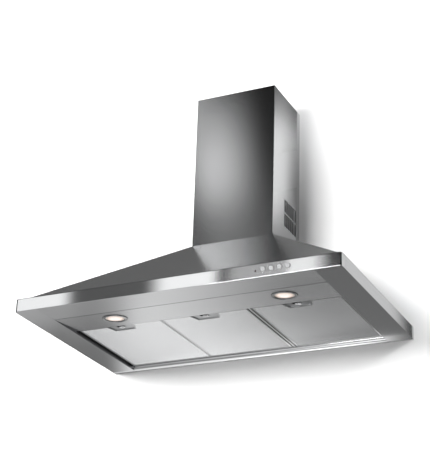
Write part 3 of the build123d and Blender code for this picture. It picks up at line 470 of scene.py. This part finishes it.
def lathe(profile, origin, axis, segments=72):
    """Vertices and faces of a closed profile turned about an axis through origin.

    The profile's points are a radius and a height along the axis.
    """
    axis = Vector(axis).normalized()
    first = axis.orthogonal().normalized()
    second = axis.cross(first)
    verts = []
    faces = []
    count = len(profile)
    for turn in range(segments):
        angle = math.tau * turn / segments
        spoke = first * math.cos(angle) + second * math.sin(angle)
        for radius, height in profile:
            verts.append(tuple(Vector(origin) + spoke * radius + axis * height))
    for turn in range(segments):
        here = turn * count
        there = (turn + 1) % segments * count
        for k in range(count):
            after = (k + 1) % count
            faces.append((here + k, there + k, there + after, here + after))
    return verts, faces


def arc_points(centre, radius, start, end, steps):
    """Points of a profile's arc, with angles in degrees."""
    points = []
    for step in range(steps + 1):
        angle = math.radians(start + (end - start) * step / steps)
        points.append((centre[0] + radius * math.cos(angle), centre[1] + radius * math.sin(angle)))
    return points


# ------------------------------------------------------------------ filter mesh
DIAMOND_LONG = 0.0070  # long and short way of a diamond
DIAMOND_SHORT = 0.0040
STRAND_WIDTH = 0.0011
STRAND_HEIGHT = 0.00055
STRAND_RIDGE = STRAND_WIDTH / 5  # how far the strand's lowest edge is from its middle
MESH_MARGIN = 0.0042  # to the sides and front of a filter's frame
MESH_REAR_MARGIN = 0.0034  # to the rear of its mesh pack
SAME_EDGE = 1e-5  # corners nearer to an edge than this lie on it


def pan_outline(number):
    """Middle of a latch pan along x, its front and rear along y, and its half-width at each."""
    corners = [vertex.co for vertex in nodes[f"filter_{number}_latch_pan"].data.vertices]
    front = min(co.y for co in corners)
    rear = max(co.y for co in corners)
    middle = (min(co.x for co in corners) + max(co.x for co in corners)) / 2
    half_front = max(abs(co.x - middle) for co in corners if co.y < front + SAME_EDGE)
    half_rear = max(abs(co.x - middle) for co in corners if co.y > rear - SAME_EDGE)
    return middle, front, rear, half_front, half_rear


def strand(run, top):
    """Vertices and faces of one unbroken strand with a three-cornered section."""
    verts = []
    for x, y in run:
        verts.append((x, y - STRAND_WIDTH / 2, top))
        verts.append((x, y + STRAND_WIDTH / 2, top))
        verts.append((x, y + STRAND_RIDGE, top - STRAND_HEIGHT))
    last = 3 * (len(run) - 1)
    faces = []
    for here in range(0, last, 3):
        for k in range(3):
            after = (k + 1) % 3
            faces.append((here + k, here + after, here + 3 + after, here + 3 + k))
    faces.append((2, 1, 0))
    faces.append((last, last + 1, last + 2))
    return verts, faces


def expanded_mesh(number, material):
    """Zigzag strands that meet in diamonds, below a filter's mesh pack and round its latch pan."""
    pack_low, pack_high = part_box(f"filter_{number}_mesh")
    frame_low, frame_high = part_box(f"filter_{number}_frame")
    middle, pan_front, pan_rear, half_front, half_rear = pan_outline(number)
    left, right = frame_low[0] + MESH_MARGIN, frame_high[0] - MESH_MARGIN
    front, rear = frame_low[1] + MESH_MARGIN, pack_high[1] - MESH_REAR_MARGIN
    half_period = DIAMOND_LONG / 2
    reach = DIAMOND_SHORT / 4
    columns = int((right - left) / half_period)
    rows = int((rear - front - 2 * reach) / (2 * reach))

    def covered(x, y):
        """Whether the latch pan takes this place."""
        if y > pan_rear + STRAND_WIDTH:
            return False
        share = (y - pan_front) / (pan_rear - pan_front)
        half = half_front + (half_rear - half_front) * share
        return abs(x - middle) < half + STRAND_WIDTH

    runs = []
    for row in range(rows):
        line = front + reach + (2 * row + 1) * reach
        run = []
        for column in range(columns + 1):
            x = left + column * half_period
            y = line + (reach if (row + column) % 2 else -reach)
            if covered(x, y):
                runs.append(run)
                run = []
            else:
                run.append((x, y))
        runs.append(run)
    verts = []
    faces = []
    for run in runs:
        if len(run) > 1:
            run_verts, run_faces = strand(run, pack_low[2])
            faces += [tuple(len(verts) + k for k in face) for face in run_faces]
            verts += run_verts
    new_piece(
        f"filter_{number}_expanded_mesh", verts, faces, material, f"filter_{number}", "filter_mesh"
    )


# ------------------------------------------------------------------ lamps
LAMP_RIM = 0.034  # radii of the bezel at its rim, its mouth and its seat above
LAMP_MOUTH = 0.0262
LAMP_SEAT = 0.0285
LAMP_WALL = 0.0079  # height of the bezel's inner wall
GLASS_RAISE = 0.0005  # from the lamp panel's lower face up to the middle of the CAD's glass
LENS_RINGS = (0.0, 0.0035, 0.0075, 0.0115, 0.0155, 0.0195, 0.0232, 0.0257)  # radii of its facets
LENS_SECTORS = 32
LENS_MIDDLE = 0.0017  # how far the middle corner lies below the edge
LENS_BULGE = 0.0018  # and how far the curve that the rings follow does there
LENS_PRISM = 0.00045  # how far every second corner is pressed in
LENS_BACK = 0.0019  # height of the flat back above the edge
GLOW_WARM = (0.75, 0.42, 0.27)
GLOW_WHITE = (1.0, 0.93, 0.88)
GLOW_WHITE_TO_WARM = (0.010, 0.024)  # distances from the middle over which the colour changes
GLOW_FADE = (0.017, 0.024)  # and over which the strength does
GLOW_STRENGTHS = (0.62, 0.05)


def lamp_frame(side):
    """Centre of a lamp's glass, and the direction up into the hood, square to the lamp panel."""
    panel_low, panel_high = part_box("lamp_panel")
    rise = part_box("filter_1_frame")[0][2]
    slope = math.atan2(rise, panel_high[1] - panel_low[1])
    up = Vector((0, -math.sin(slope), math.cos(slope)))
    low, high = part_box(f"lamp_glass_{side}")
    centre = (Vector(low) + Vector(high)) / 2
    return centre, up


def lens_material():
    """Pressed glass lit from behind by a warm lamp, brightest in the middle."""
    material, tree, shader = new_material("lamp_lens")
    place = object_place(tree)
    away = math_node(
        tree, "MINIMUM",
        *(vector_math(tree, "DISTANCE", place, tuple(lamp_frame(side)[0])) for side in SIDES),
    )
    core = remap(tree, away, *GLOW_WHITE_TO_WARM, 1.0, 0.0)
    colour = mix_colours(tree, core, (*GLOW_WARM, 1), (*GLOW_WHITE, 1))
    tree.links.new(colour, shader.inputs["Emission Color"])
    strength = remap(tree, away, *GLOW_FADE, *GLOW_STRENGTHS)
    tree.links.new(strength, shader.inputs["Emission Strength"])
    shader.inputs["Base Color"].default_value = (0.4, 0.38, 0.36, 1)
    shader.inputs["Roughness"].default_value = 0.08
    return material


def lamp_ring(side, origin, up, material):
    """Turned bezel of a lamp: rounded rim, flat lower face, a step up, a bead at its mouth."""
    profile = [(LAMP_SEAT, LAMP_WALL), (LAMP_SEAT, 0.0), (LAMP_RIM - 0.0002, 0.0)]
    profile += arc_points((LAMP_RIM - 0.0013, -0.0007), 0.0012, 20, -90, 6)
    profile += [(LAMP_RIM - 0.0036, -0.00195), (LAMP_RIM - 0.0046, -0.0012)]
    profile += arc_points((LAMP_MOUTH + 0.0010, -0.0008), 0.0010, -90, -180, 5)
    profile += [(LAMP_MOUTH, LAMP_WALL)]
    verts, faces = lathe(profile, origin, up)
    ring = new_piece(
        f"lamp_ring_{side}", verts, faces, material, "hood", "lamp_chrome", f"lamp_bezel_{side}"
    )
    smooth(ring)


def lamp_lens(side, origin, up, material):
    """Lens of one lamp, with rings of facets on its bulging lower face and a flat back."""
    first = Vector((1, 0, 0))
    second = up.cross(first)
    edge_ring = len(LENS_RINGS) - 1

    def corner(radius, sector, height):
        """A corner of the lens, by its radius, sector and height."""
        angle = math.tau * sector / LENS_SECTORS
        spoke = first * (radius * math.cos(angle)) + second * (radius * math.sin(angle))
        return tuple(origin + spoke + up * height)

    verts = [tuple(origin - up * LENS_MIDDLE)]
    for index, radius in enumerate(LENS_RINGS[1:], 1):
        bulge = LENS_BULGE * (1 - (radius / LENS_RINGS[-1]) ** 2)
        for sector in range(LENS_SECTORS):
            pressed = (index + sector) % 2 and index < edge_ring
            verts.append(corner(radius, sector, -bulge + (LENS_PRISM if pressed else 0.0)))
    back = len(verts)
    for sector in range(LENS_SECTORS):
        verts.append(corner(LENS_RINGS[-1], sector, LENS_BACK))
    faces = []
    for sector in range(LENS_SECTORS):
        after = (sector + 1) % LENS_SECTORS
        faces.append((0, 1 + sector, 1 + after))
        for index in range(edge_ring - 1):
            inner = 1 + index * LENS_SECTORS
            outer = inner + LENS_SECTORS
            if (index + sector) % 2:
                faces.append((inner + sector, outer + sector, outer + after))
                faces.append((inner + sector, outer + after, inner + after))
            else:
                faces.append((inner + sector, outer + sector, inner + after))
                faces.append((outer + sector, outer + after, inner + after))
        edge = 1 + (edge_ring - 1) * LENS_SECTORS
        faces.append((edge + sector, back + sector, back + after, edge + after))
    faces.append(tuple(back + sector for sector in reversed(range(LENS_SECTORS))))
    new_piece(
        f"lamp_lens_{side}", verts, faces, material, "hood", "lamp_glass", f"lamp_glass_{side}"
    )


# ------------------------------------------------------------------ buttons
RING_BORE = 0.0059  # radii of a button's ring
RING_SLEEVE = 0.0069
RING_RIM = 0.00775
RING_DEEP = 0.006  # how far its sleeve goes into the hood
RING_PROUD = 0.00078
RING_INSET = 0.00005  # keeps its rounded front inside the plain ring that it replaces
MARK_PROUD = 0.00004  # thickness of a mark, of which half is sunk in the button
MARK_RING = (0.0011, 0.0017)  # radii of the first button's ring
OUT = (0, -1, 0)  # the way that the buttons face
BAR_PITCH = 0.0014
BAR_HALF_WIDTH = 0.0003
BAR_HALF_LENGTH = 0.0014


def button_places():
    """Centre of each button's face."""
    places = []
    for number in BUTTONS:
        low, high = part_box(f"push_button_{number}")
        places.append(Vector(((low[0] + high[0]) / 2, low[1], (low[2] + high[2]) / 2)))
    return places


def button_rings(material):
    """Rounded rings round the buttons, in place of the plain bezels."""
    fascia_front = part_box("front_fascia")[0][1]
    middle = (RING_RIM + RING_BORE) / 2
    half_wall = (RING_RIM - RING_BORE) / 2
    profile = [(RING_SLEEVE, -RING_DEEP), (RING_SLEEVE, 0.0), (RING_RIM - RING_INSET, 0.0)]
    profile += arc_points((middle, 0.0), half_wall - RING_INSET, 20, 160, 8)
    profile = [(radius, min(height, RING_PROUD)) for radius, height in profile]
    profile += [(RING_BORE, 0.0), (RING_BORE, -RING_DEEP)]
    verts = []
    faces = []
    for place in button_places():
        origin = (place.x, fascia_front, place.z)
        ring_verts, ring_faces = lathe(profile, origin, OUT, segments=48)
        faces += [tuple(len(verts) + k for k in face) for face in ring_faces]
        verts += ring_verts
    rings = new_piece(
        "button_rings", verts, faces, material, "hood", "button_ring", "button_bezels"
    )
    smooth(rings)


def button_marks(material):
    """Raised marks: a small ring on the first button, then one, two and three bars."""
    outline = (
        (-BAR_HALF_WIDTH, -BAR_HALF_LENGTH), (BAR_HALF_WIDTH, -BAR_HALF_LENGTH),
        (BAR_HALF_WIDTH, BAR_HALF_LENGTH), (-BAR_HALF_WIDTH, BAR_HALF_LENGTH),
    )
    for number, place in enumerate(button_places(), 1):
        face = place + Vector((0, -MARK_PROUD / 2, 0))
        verts = []
        faces = []
        if number == 1:
            inner, outer = MARK_RING
            profile = [(inner, 0.0), (inner, MARK_PROUD), (outer, MARK_PROUD), (outer, 0.0)]
            verts, faces = lathe(profile, face + Vector((0, MARK_PROUD, 0)), OUT, segments=32)
        bars = number - 1
        for bar in range(bars):
            x = face.x + (bar - (bars - 1) / 2) * BAR_PITCH
            base = len(verts)
            for y in (face.y, face.y + MARK_PROUD):
                verts += [(x + dx, y, face.z + dz) for dx, dz in outline]
            faces.append((base, base + 1, base + 2, base + 3))
            faces.append((base + 7, base + 6, base + 5, base + 4))
            for k in range(4):
                after = (k + 1) % 4
                faces.append((base + k, base + 4 + k, base + 4 + after, base + after))
        new_piece(
            f"button_mark_{number}", verts, faces, material, f"button_{number}", "button_cap"
        )


def add_pieces():
    """Adds the filters' mesh, the lamps' rings and lenses, and the buttons' rings and marks."""
    aluminium = bare_metal("mesh_aluminium", 0.62, 0.26)
    for number in FILTERS:
        expanded_mesh(number, aluminium)
    lamp_chrome = speckled("lamp_chrome", cool_grey(0.42), 0.24, metallic=1.0, spread=0.02)
    # painted shade on the faces of the lamp's bezel that turn aside from its axis
    paint_flank_shade(lamp_chrome, "Z", 0.86, FLANK_PAINTED_SHADE)
    glass = lens_material()
    for side in SIDES:
        centre, up = lamp_frame(side)
        origin = centre - up * GLASS_RAISE
        lamp_ring(side, origin, up, lamp_chrome)
        lamp_lens(side, origin, up, glass)
    chrome = speckled("chrome", cool_grey(0.62), 0.2, metallic=1.0, spread=0.02)
    # painted shade on the rings' faces that turn aside from their front
    paint_flank_shade(chrome, "Y", 0.8, FLANK_PAINTED_SHADE)
    button_rings(chrome)
    button_marks(speckled("button_mark", (0.12, 0.12, 0.125), 0.5))


# ------------------------------------------------------------------ studio
WALL_GAP = 0.0006
FLOOR_Z = -1.75
STAGE_SIZE = 7.0
BACKDROP_COLOUR = (0.8, 0.8, 0.8, 1)
WALL_GLOW = 0.05
FLOOR_GLOW = 0.15
WORLD_GLOW = 0.2
WHITE = (1, 1, 1, 1)
SPOT_RADIUS = 0.2


def backdrop_material(name, glow):
    """Pale matt surface that can be seen through from behind.

    It glows for camera, glossy and transmission rays only, and so lights no matt surface.
    """
    material, tree, shader = new_material(name)
    path = add_node(tree, "ShaderNodeLightPath").outputs
    seen = math_node(tree, "MAXIMUM", path["Is Camera Ray"], path["Is Glossy Ray"])
    seen = math_node(tree, "MAXIMUM", seen, path["Is Transmission Ray"])
    tree.links.new(remap(tree, seen, 0, 1, 0.0, glow), shader.inputs["Emission Strength"])
    shader.inputs["Emission Color"].default_value = WHITE
    shader.inputs["Base Color"].default_value = BACKDROP_COLOUR
    shader.inputs["Roughness"].default_value = 1.0
    shader.inputs["Specular IOR Level"].default_value = 0.0
    behind = add_node(tree, "ShaderNodeNewGeometry").outputs["Backfacing"]
    clear = add_node(tree, "ShaderNodeBsdfTransparent").outputs[0]
    surface = mix_shaders(tree, behind, shader.outputs[0], clear)
    tree.links.new(surface, tree.nodes["Material Output"].inputs["Surface"])
    return material


def plane(name, corners, material):
    """A four-cornered stage plane whose front is where its corners run anticlockwise."""
    mesh = bpy.data.meshes.new(name)
    mesh.from_pydata(corners, [], [(0, 1, 2, 3)])
    mesh.materials.append(material)
    made = bpy.data.objects.new(name, mesh)
    bpy.context.scene.collection.objects.link(made)
    return made


def aim_light(data, place, target):
    """Puts a light in the scene, facing a point, and keeps it out of reflections."""
    lamp = bpy.data.objects.new(data.name, data)
    bpy.context.scene.collection.objects.link(lamp)
    lamp.location = place
    direction = Vector(target) - Vector(place)
    lamp.rotation_euler = direction.to_track_quat("-Z", "Y").to_euler()
    lamp.visible_glossy = False


def area_light(name, place, target, width, height, power):
    """Rectangular area light."""
    data = bpy.data.lights.new(name, "AREA")
    data.energy = power
    data.shape = "RECTANGLE"
    data.size = width
    data.size_y = height
    aim_light(data, place, target)


def spot_light(name, place, target, cone, power):
    """Soft-edged spot light, with its cone in degrees."""
    data = bpy.data.lights.new(name, "SPOT")
    data.energy = power
    data.spot_size = math.radians(cone)
    data.spot_blend = 1.0
    data.shadow_soft_size = SPOT_RADIUS
    aim_light(data, place, target)


def board(name, low, high, strength, soft=(0.0, 0.0, 0.0, 0.0)):
    """A studio board that only reflections show: a rectangle square to one axis, from low to high.

    soft gives the widths over which its glow fades out, at its low and high edge along the first
    of its two axes, then along the second.
    """
    low, high = Vector(low), Vector(high)
    flat = min(range(3), key=lambda k: high[k] - low[k])
    first, second = (k for k in range(3) if k != flat)
    corners = []
    for a, b in ((low, low), (high, low), (high, high), (low, high)):
        corner = low.copy()
        corner[first] = a[first]
        corner[second] = b[second]
        corners.append(tuple(corner))
    material = bpy.data.materials.new(name)
    material.use_nodes = True
    tree = material.node_tree
    tree.nodes.remove(principled(material))
    split = add_node(tree, "ShaderNodeSeparateXYZ", {"Vector": object_place(tree)})
    edges = ((first, low, 1), (first, high, -1), (second, low, 1), (second, high, -1))
    mask = None
    for (axis, corner, way), width in zip(edges, soft):
        if width == 0:
            continue
        edge = corner[axis]
        fade = remap(
            tree, split.outputs[axis], edge, edge + way * width, interpolation_type="SMOOTHSTEP"
        )
        mask = fade if mask is None else math_node(tree, "MULTIPLY", mask, fade)
    surface = add_node(tree, "ShaderNodeEmission", {"Strength": strength}).outputs[0]
    if mask is not None:
        clear = add_node(tree, "ShaderNodeBsdfTransparent").outputs[0]
        surface = mix_shaders(tree, mask, clear, surface)
    tree.links.new(surface, tree.nodes["Material Output"].inputs["Surface"])
    made = plane(name, corners, material)
    made.visible_camera = False
    made.visible_diffuse = False
    made.visible_shadow = False
    made.visible_transmission = False
    made.visible_volume_scatter = False


def mirrored(point, board_y):
    """Where a ray from the camera that an upright front face mirrors at point meets a board."""
    point = Vector(point)
    reach = (point.y - board_y) / (point.y - CAMERA_PLACE.y)
    x = point.x + reach * (point.x - CAMERA_PLACE.x)
    z = point.z + reach * (point.z - CAMERA_PLACE.z)
    return x, z


hood_high = Vector(cad_box[1])
band_low, band_high = (Vector(corner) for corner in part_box("front_fascia"))
chimney_low, chimney_high = (Vector(corner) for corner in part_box("lower_chimney"))

NEAR_BOARD_Y = band_low.y - 0.254  # boards that the band shows
FAR_BOARD_Y = -1.25  # boards that the chimney's front shows
BACK_BOARD_Y = -2.6  # boards that the canopy's front shows
TENT_LEFT = -1.8
TENT_RIGHT = 1.2
TENT_TOP = 1.33
TENT_GLOW = 0.015
FLAG_GLOW = 0.24
UNDERSIDE_Z = -0.0008  # top of the boards on the wall below the hood
FRONT_SPLIT_Z = -0.02  # where the tent's front ends and the boards that the rear rail shows start
FLOOR_BOARD_Z = -1.2

# Reflections in the band: left and right edge along x, how far each fades, and strength.
BAND_LIGHTS = (
    (-0.50, -0.265, 0.02, 0.055, 1.6),
    (-0.075, 0.145, 0.075, 0.045, 1.62),
    (0.135, 0.315, 0.05, 0.02, 0.6),
    (0.293, 0.427, 0.022, 0.07, 1.4),
)
BAND_LIGHT_HALF_HEIGHT = 0.14
BAND_LIGHT_SOFT = 0.04
BAND_LIGHT_STEP = 0.004  # between the planes of two of them


def band_boards():
    """Light boards before the band, placed by where its reflections of them should lie."""
    for number, (left, right, soft_left, soft_right, strength) in enumerate(BAND_LIGHTS):
        x_low, z = mirrored((left, band_low.y, band_high.z / 2), NEAR_BOARD_Y)
        x_high, _ = mirrored((right, band_low.y, band_high.z / 2), NEAR_BOARD_Y)
        y = NEAR_BOARD_Y - BAND_LIGHT_STEP * number
        low = (x_low, y, z - BAND_LIGHT_HALF_HEIGHT)
        high = (x_high, y, z + BAND_LIGHT_HALF_HEIGHT)
        soft = (soft_left, soft_right, BAND_LIGHT_SOFT, BAND_LIGHT_SOFT)
        board(f"band_light_{number}", low, high, strength, soft)


def make_boards():
    """Dark tent round the front of the hood, and the boards whose reflections the steel shows.

    Where boards overlap, the first one that a ray from the hood meets hides those behind it.
    """
    band_boards()

    # Before the chimney's front
    y = FAR_BOARD_Y + 0.03
    board("chimney_light", (-0.70, y, 0.90), (-0.34, y, 1.22), 2.15, (0.13, 0.22, 0.18, 0.16))
    y = FAR_BOARD_Y + 0.04
    board("chimney_light_top", (-0.66, y, 1.10), (-0.33, y, 1.33), 0.95, (0.14, 0.22, 0.12, 0.1))
    y = FAR_BOARD_Y
    z = FRONT_SPLIT_Z
    board("tent_front", (TENT_LEFT, y, z), (TENT_RIGHT, y, TENT_TOP), TENT_GLOW)
    y = FAR_BOARD_Y + 0.01
    board("tent_front_glow", (TENT_LEFT, y, z), (0.1, y, 1.3), 0.12, (0.0, 0.6, 0.0, 0.8))

    # Farther out before the canopy's front, then above and on both sides
    y = BACK_BOARD_Y + 0.05
    board("canopy_light", (-2.2, y, 2.25), (-1.30, y, 3.6), 3.8, (0.1, 0.36, 0.3, 0.3))
    y = BACK_BOARD_Y
    board("tent_back", (-3.6, y, 0.5), (2.4, y, 4.6), TENT_GLOW)
    board("tent_top", (-3.6, y, 3.7), (2.4, 0.0, 3.7), TENT_GLOW)
    y = FAR_BOARD_Y
    board("tent_right", (TENT_RIGHT, y, -0.6), (TENT_RIGHT, -0.68, 2.4), TENT_GLOW)
    board("tent_left", (TENT_LEFT, y, -0.6), (TENT_LEFT, 0.0, 2.4), 0.02)

    # On the wall beside the chimney, and over the canopy
    y = -0.012
    board("wall_left_flag", (TENT_LEFT, y, 0.04), (chimney_low.x - 0.004, y, 2.4), 0.17)
    x = chimney_high.x + 0.003
    board("wall_top_flag", (x, y, 0.62), (1.3, y, 2.4), 0.2, (0.0, 0.3, 0.16, 0.0))
    board("wall_low_flag", (x, y, 0.29), (0.4, y, 0.50), 0.38, (0.0, 0.1, 0.0, 0.14))
    y = -0.014
    board("chimney_side_light", (x, y, 0.31), (0.3, y, 0.87), 1.17, (0.07, 0.05, 0.24, 0.24))
    board("canopy_right_flag", (x, -0.19, 0.287), (hood_high.x, -0.005, 0.287), FLAG_GLOW)
    x = chimney_high.x + 0.0005
    board("canopy_front_flag", (x, -0.19, 0.28), (hood_high.x, -0.19, 1.2), FLAG_GLOW)

    # On the wall to the right of the hood
    x = hood_high.x + 0.002
    board("side_dark", (x, -0.006, 0.0), (0.9, -0.006, 0.4), 0.12, (0.0, 0.1, 0.0, 0.05))
    board("side_glow", (x, -0.009, 0.0), (0.9, -0.009, 0.4), 0.87, (0.06, 0.1, 0.0, 0.05))

    # On the wall below the hood
    z = UNDERSIDE_Z
    y = -0.003
    board("under_dim", (-1.7, y, -1.6), (1.4, y, z), 0.21)
    y = -0.0045
    board("under_rim_glow", (-0.46, y, -0.02), (0.46, y, z), 2.0, (0.5, 0.2, 0.004, 0.0))
    y = -0.006
    board("under_glow", (-0.66, y, -1.3), (0.15, y, z), 1.15, (0.34, 0.6, 0.6, 0.0))
    y = -0.009
    board("under_left_glow", (-1.5, y, -0.7), (-0.52, y, -0.16), 0.66, (0.3, 0.16, 0.1, 0.05))
    y = -0.012
    board("under_rear_glow", (-0.50, y, -0.11), (0.30, y, z), 1.3, (0.3, 0.48, 0.1, 0.0))
    y = -0.015
    soft = (0.06, 0.12, 0.06, 0.0)
    board("under_left_flag", (-0.68, y, -0.20), (-0.365, y, z), FLAG_GLOW, soft)

    # On the floor, and in front below the tent
    y = FAR_BOARD_Y
    z = FLOOR_BOARD_Z
    top = FRONT_SPLIT_Z
    board("floor_dim", (TENT_LEFT, y, z - 0.01), (TENT_RIGHT, 0.0, z - 0.01), 0.35)
    board("mesh_light", (-0.62, -1.0, z), (0.62, 0.0, z), 1.9, (0.6, 0.6, 0.1, 0.0))
    board("rail_front_dim", (TENT_LEFT, y, z), (TENT_RIGHT, y, top), 0.4)
    y = FAR_BOARD_Y + 0.01
    board("rail_front_glow", (-1.3, y, z), (-0.19, y, top), 0.9, (0.9, 0.02, 0.1, 0.01))
    y = FAR_BOARD_Y + 0.02
    board("rail_front_light", (-0.22, y, -0.17), (0.8, y, top), 10.0, (0.03, 0.05, 0.05, 0.01))


def make_studio():
    """Pale wall and floor, a key light from the left front, two fill lights and the boards."""
    s = STAGE_SIZE
    y = WALL_GAP
    z = FLOOR_Z
    wall = [(-s, y, z), (s, y, z), (s, y, s), (-s, y, s)]
    floor = [(-s, -s, z), (s, -s, z), (s, s, z), (-s, s, z)]
    plane("wall", wall, backdrop_material("wall", WALL_GLOW))
    plane("floor", floor, backdrop_material("floor", FLOOR_GLOW))
    world = bpy.data.worlds.new("world")
    bpy.context.scene.world = world
    world.use_nodes = True
    background = world.node_tree.nodes["Background"]
    background.inputs["Color"].default_value = WHITE
    background.inputs["Strength"].default_value = WORLD_GLOW
    area_light("key", (-1.1, -3.1, 0.3), (0, 0, 0.25), width=2.0, height=0.5, power=172)
    spot_light("wall_fill", (1.3, -1.6, 1.9), (0.32, 0, 0.99), cone=18, power=400)
    spot_light("side_fill", (2.2, -1.6, 0.9), (0.70, 0, 0.20), cone=15, power=420)
    make_boards()


make_camera()
dress_nodes()
add_pieces()
make_studio()

bpy.context.scene.view_settings.view_transform = "Standard"
